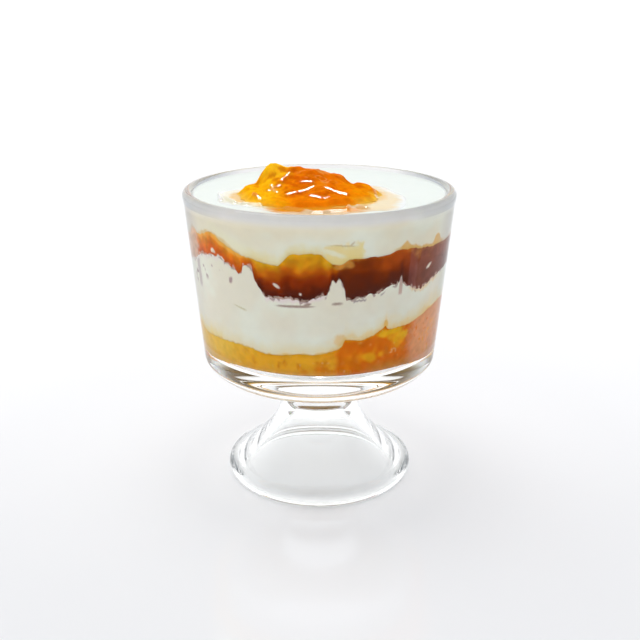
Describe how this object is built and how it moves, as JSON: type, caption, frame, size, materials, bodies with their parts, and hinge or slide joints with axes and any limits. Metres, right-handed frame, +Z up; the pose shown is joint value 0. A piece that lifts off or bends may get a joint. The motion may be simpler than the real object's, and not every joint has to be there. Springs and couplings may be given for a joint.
{
  "type": "yogurt parfait",
  "caption": "Layered yogurt and orange jam dessert with a heap of jam on top, in a footed clear dessert glass that stands on a table.",
  "frame": {"origin": "centre of the ring that the glass stands on, in the plane of the table", "axes": "+Z up along the glass's axis of turning, -Y towards the pictured front, +X to the right of the picture"},
  "size_m": [0.0958, 0.0958, 0.1181],
  "materials": {
    "clear_glass": "clear pressed glass, polished",
    "orange_jam": "wet translucent orange jam",
    "yogurt": "soft off-white yogurt",
    "dark_jam": "wet dark amber jam",
    "heap_jam": "glossy bright orange jam with syrup"
  },
  "bodies": {
    "root": {"glass": "clear_glass", "jam_bottom": "orange_jam", "yogurt_middle": "yogurt", "jam_dark": "dark_jam", "yogurt_top": "yogurt", "jam_heap": "heap_jam"}
  },
  "joints": []
}
